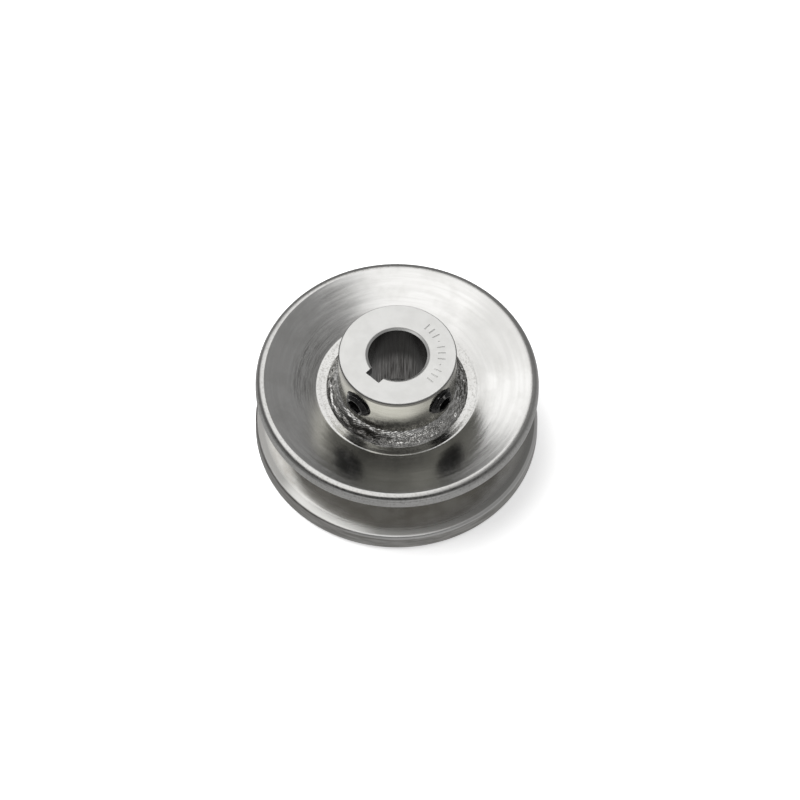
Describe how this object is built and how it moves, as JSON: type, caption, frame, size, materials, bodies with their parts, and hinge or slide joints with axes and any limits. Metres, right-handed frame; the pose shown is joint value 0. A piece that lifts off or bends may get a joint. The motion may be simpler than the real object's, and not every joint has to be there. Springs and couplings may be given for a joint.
{
  "type": "v belt pulley",
  "caption": "Grooved V-belt pulley: dished steel flanges back to back, welded to a keyed hub that stands proud, with socket set screws through its wall.",
  "frame": {"origin": "on the bore axis, in the plane of the back rim that the pulley lies on", "axes": "+Z along the bore towards the long end of the hub; the keyway and its set screw face -Y; the second set screw faces +X"},
  "size_m": [0.0762, 0.0762, 0.0381],
  "materials": {
    "spun_zinc": "spun and formed plate, bright zinc plated",
    "turned_zinc": "fine-turned steel, bright zinc plated",
    "weld_metal": "rough weld bead under bright zinc",
    "black_oxide": "black oxide, lightly oiled"
  },
  "bodies": {
    "pulley": {"front_flange": "spun_zinc", "back_flange": "spun_zinc", "hub": "turned_zinc", "front_weld": "weld_metal", "back_weld": "weld_metal"},
    "key_screw": {"key_set_screw": "black_oxide"},
    "side_screw": {"side_set_screw": "black_oxide"}
  },
  "joints": [
    {"name": "key_screw_travel", "type": "slide", "parent": "pulley", "child": "key_screw", "axis": [0, -1, 0], "range_m": [-0.00135, 0.005]},
    {"name": "side_screw_travel", "type": "slide", "parent": "pulley", "child": "side_screw", "axis": [1, 0, 0], "range_m": [-0.00135, 0.005]}
  ]
}
